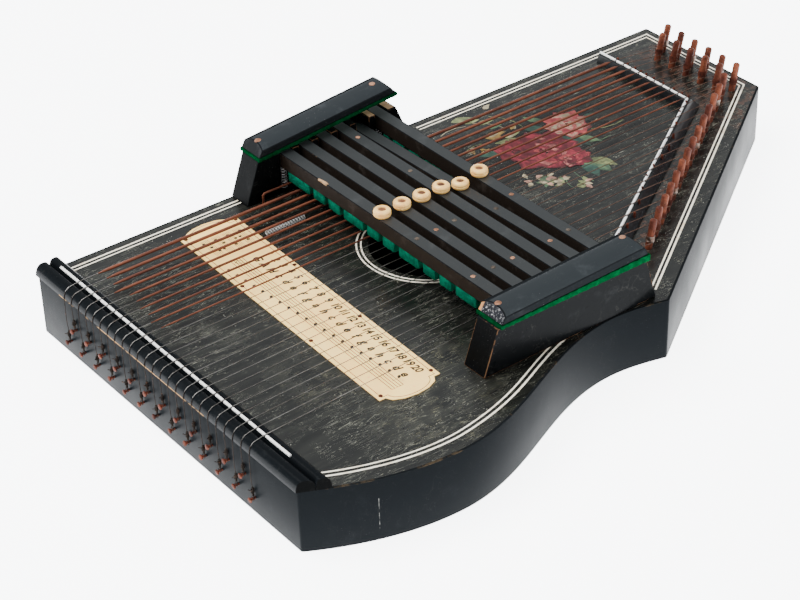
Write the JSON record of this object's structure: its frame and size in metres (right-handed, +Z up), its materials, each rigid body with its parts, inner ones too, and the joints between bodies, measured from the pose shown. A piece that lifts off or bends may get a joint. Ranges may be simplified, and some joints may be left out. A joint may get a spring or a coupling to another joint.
{
  "type": "chorded zither",
  "caption": "Flat black box zither with taut strings, sprung chord bars whose felts press down to mute strings, and leaning tuning pins.",
  "frame": {"origin": "centre of the bounding box in plan, at the underside of the back board", "axes": "+X along the strings from the hitch end to the pin end, +Y from the treble side to the bass side, +Z up out of the soundboard"},
  "size_m": [0.4876, 0.2918, 0.0868],
  "materials": {
    "lacquer": "black shellac lacquer over wood, satin to gloss, worn at the edges",
    "bar_lacquer": "black stain and thin matt lacquer over wood",
    "softwood": "bare wood",
    "hardwood": "bare hardwood",
    "felt": "green wool felt",
    "ivory": "turned, ivory coloured, worn smooth",
    "white_rod": "bright plated rod",
    "string_steel": "drawn steel wire, some wound with copper",
    "rusty_steel": "rusted steel",
    "rusty_wire": "rusted steel wire",
    "spring_steel": "bright spring wire",
    "paper": "aged cream card"
  },
  "bodies": {
    "zither_body": {"soundboard": "lacquer", "back_board": "lacquer", "bass_side": "lacquer", "treble_side": "lacquer", "pin_side": "lacquer", "top_side": "lacquer", "hitch_block": "lacquer", "hitch_rail": "lacquer", "pin_bridge": "lacquer", "bass_bar_holder": "lacquer", "treble_bar_holder": "lacquer", "bass_holder_cover": "lacquer", "treble_holder_cover": "lacquer", "pin_block": "hardwood", "brace": "softwood", "string_set": "string_steel", "pin_bridge_rod": "white_rod", "scale_card": "paper", "bass_cover_felt": "felt", "treble_cover_felt": "felt", "guard_wire": "rusty_wire", "loose_spring": "spring_steel"},
    "bar_1": {"chord_bar_1": "bar_lacquer", "button_1": "ivory"},
    "bar_2": {"chord_bar_2": "bar_lacquer", "button_2": "ivory"},
    "bar_3": {"chord_bar_3": "bar_lacquer", "button_3": "ivory"},
    "bar_4": {"chord_bar_4": "bar_lacquer", "button_4": "ivory"},
    "bar_5": {"chord_bar_5": "bar_lacquer", "button_5": "ivory"},
    "bar_6": {"chord_bar_6": "bar_lacquer", "button_6": "ivory"},
    "pin_01": {"tuning_pin_01": "rusty_steel"},
    "pin_02": {"tuning_pin_02": "rusty_steel"},
    "pin_03": {"tuning_pin_03": "rusty_steel"},
    "pin_04": {"tuning_pin_04": "rusty_steel"},
    "pin_05": {"tuning_pin_05": "rusty_steel"},
    "pin_06": {"tuning_pin_06": "rusty_steel"},
    "pin_07": {"tuning_pin_07": "rusty_steel"},
    "pin_08": {"tuning_pin_08": "rusty_steel"},
    "pin_09": {"tuning_pin_09": "rusty_steel"},
    "pin_10": {"tuning_pin_10": "rusty_steel"},
    "pin_11": {"tuning_pin_11": "rusty_steel"},
    "pin_12": {"tuning_pin_12": "rusty_steel"},
    "pin_13": {"tuning_pin_13": "rusty_steel"},
    "pin_14": {"tuning_pin_14": "rusty_steel"},
    "pin_15": {"tuning_pin_15": "rusty_steel"},
    "pin_16": {"tuning_pin_16": "rusty_steel"},
    "pin_17": {"tuning_pin_17": "rusty_steel"},
    "pin_18": {"tuning_pin_18": "rusty_steel"},
    "pin_19": {"tuning_pin_19": "rusty_steel"},
    "pin_20": {"tuning_pin_20": "rusty_steel"},
    "pin_21": {"tuning_pin_21": "rusty_steel"},
    "pin_22": {"tuning_pin_22": "rusty_steel"},
    "pin_23": {"tuning_pin_23": "rusty_steel"},
    "pin_24": {"tuning_pin_24": "rusty_steel"},
    "pin_25": {"tuning_pin_25": "rusty_steel"}
  },
  "joints": [
    {"name": "bar_1_press", "type": "slide", "parent": "zither_body", "child": "bar_1", "axis": [0, 0, 1], "range_m": [-0.0026, 0], "stiffness_N_per_m": 300, "springref_m": 0.006},
    {"name": "bar_2_press", "type": "slide", "parent": "zither_body", "child": "bar_2", "axis": [0, 0, 1], "range_m": [-0.0026, 0], "stiffness_N_per_m": 300, "springref_m": 0.006},
    {"name": "bar_3_press", "type": "slide", "parent": "zither_body", "child": "bar_3", "axis": [0, 0, 1], "range_m": [-0.0026, 0], "stiffness_N_per_m": 300, "springref_m": 0.006},
    {"name": "bar_4_press", "type": "slide", "parent": "zither_body", "child": "bar_4", "axis": [0, 0, 1], "range_m": [-0.0026, 0], "stiffness_N_per_m": 300, "springref_m": 0.006},
    {"name": "bar_5_tilt", "type": "hinge", "parent": "zither_body", "child": "bar_5", "pos_m": [-0.01305, -0.0944, 0.0683], "axis": [1, 0, 0], "range_deg": [0, 1.5]},
    {"name": "bar_6_press", "type": "slide", "parent": "zither_body", "child": "bar_6", "axis": [0, 0, 1], "range_m": [-0.0026, 0], "stiffness_N_per_m": 300, "springref_m": 0.006},
    {"name": "pin_01_turn", "type": "hinge", "parent": "zither_body", "child": "pin_01", "pos_m": [0.22915, 0.1127, 0.04], "axis": [0.2588, 0, 0.9659], "range_deg": [-90, 90]},
    {"name": "pin_02_turn", "type": "hinge", "parent": "zither_body", "child": "pin_02", "pos_m": [0.21785, 0.10576, 0.04], "axis": [0.2521, 0, 0.9677], "range_deg": [-90, 90]},
    {"name": "pin_03_turn", "type": "hinge", "parent": "zither_body", "child": "pin_03", "pos_m": [0.22861, 0.09882, 0.04], "axis": [0.2453, 0, 0.9694], "range_deg": [-90, 90]},
    {"name": "pin_04_turn", "type": "hinge", "parent": "zither_body", "child": "pin_04", "pos_m": [0.21785, 0.09188, 0.04], "axis": [0.2385, 0, 0.9711], "range_deg": [-90, 90]},
    {"name": "pin_05_turn", "type": "hinge", "parent": "zither_body", "child": "pin_05", "pos_m": [0.22807, 0.08494, 0.04], "axis": [0.2317, 0, 0.9728], "range_deg": [-90, 90]},
    {"name": "pin_06_turn", "type": "hinge", "parent": "zither_body", "child": "pin_06", "pos_m": [0.21785, 0.078, 0.04], "axis": [0.225, 0, 0.9744], "range_deg": [-90, 90]},
    {"name": "pin_07_turn", "type": "hinge", "parent": "zither_body", "child": "pin_07", "pos_m": [0.22753, 0.07106, 0.04], "axis": [0.2181, 0, 0.9759], "range_deg": [-90, 90]},
    {"name": "pin_08_turn", "type": "hinge", "parent": "zither_body", "child": "pin_08", "pos_m": [0.21785, 0.06412, 0.04], "axis": [0.2113, 0, 0.9774], "range_deg": [-90, 90]},
    {"name": "pin_09_turn", "type": "hinge", "parent": "zither_body", "child": "pin_09", "pos_m": [0.22699, 0.05718, 0.04], "axis": [0.2045, 0, 0.9789], "range_deg": [-90, 90]},
    {"name": "pin_10_turn", "type": "hinge", "parent": "zither_body", "child": "pin_10", "pos_m": [0.21785, 0.05024, 0.04], "axis": [0.1977, 0, 0.9803], "range_deg": [-90, 90]},
    {"name": "pin_11_turn", "type": "hinge", "parent": "zither_body", "child": "pin_11", "pos_m": [0.22645, 0.0433, 0.04], "axis": [0.1908, 0, 0.9816], "range_deg": [-90, 90]},
    {"name": "pin_12_turn", "type": "hinge", "parent": "zither_body", "child": "pin_12", "pos_m": [0.21065, 0.0384, 0.04], "axis": [0.1908, 0, 0.9816], "range_deg": [-90, 90]},
    {"name": "pin_13_turn", "type": "hinge", "parent": "zither_body", "child": "pin_13", "pos_m": [0.1986, 0.03055, 0.04], "axis": [0.1908, 0, 0.9816], "range_deg": [-90, 90]},
    {"name": "pin_14_turn", "type": "hinge", "parent": "zither_body", "child": "pin_14", "pos_m": [0.18655, 0.02271, 0.04], "axis": [0.1908, 0, 0.9816], "range_deg": [-90, 90]},
    {"name": "pin_15_turn", "type": "hinge", "parent": "zither_body", "child": "pin_15", "pos_m": [0.1745, 0.01486, 0.04], "axis": [0.1908, 0, 0.9816], "range_deg": [-90, 90]},
    {"name": "pin_16_turn", "type": "hinge", "parent": "zither_body", "child": "pin_16", "pos_m": [0.16245, 0.00702, 0.04], "axis": [0.1908, 0, 0.9816], "range_deg": [-90, 90]},
    {"name": "pin_17_turn", "type": "hinge", "parent": "zither_body", "child": "pin_17", "pos_m": [0.1504, -0.00083, 0.04], "axis": [0.1908, 0, 0.9816], "range_deg": [-90, 90]},
    {"name": "pin_18_turn", "type": "hinge", "parent": "zither_body", "child": "pin_18", "pos_m": [0.13835, -0.00868, 0.04], "axis": [0.1908, 0, 0.9816], "range_deg": [-90, 90]},
    {"name": "pin_19_turn", "type": "hinge", "parent": "zither_body", "child": "pin_19", "pos_m": [0.1263, -0.01652, 0.04], "axis": [0.1908, 0, 0.9816], "range_deg": [-90, 90]},
    {"name": "pin_20_turn", "type": "hinge", "parent": "zither_body", "child": "pin_20", "pos_m": [0.11425, -0.02437, 0.04], "axis": [0.1908, 0, 0.9816], "range_deg": [-90, 90]},
    {"name": "pin_21_turn", "type": "hinge", "parent": "zither_body", "child": "pin_21", "pos_m": [0.1022, -0.03221, 0.04], "axis": [0.1908, 0, 0.9816], "range_deg": [-90, 90]},
    {"name": "pin_22_turn", "type": "hinge", "parent": "zither_body", "child": "pin_22", "pos_m": [0.09015, -0.04006, 0.04], "axis": [0.1908, 0, 0.9816], "range_deg": [-90, 90]},
    {"name": "pin_23_turn", "type": "hinge", "parent": "zither_body", "child": "pin_23", "pos_m": [0.0781, -0.04791, 0.04], "axis": [0.1908, 0, 0.9816], "range_deg": [-90, 90]},
    {"name": "pin_24_turn", "type": "hinge", "parent": "zither_body", "child": "pin_24", "pos_m": [0.06605, -0.05575, 0.04], "axis": [0.1908, 0, 0.9816], "range_deg": [-90, 90]},
    {"name": "pin_25_turn", "type": "hinge", "parent": "zither_body", "child": "pin_25", "pos_m": [0.054, -0.0636, 0.04], "axis": [0.1908, 0, 0.9816], "range_deg": [-90, 90]}
  ]
}
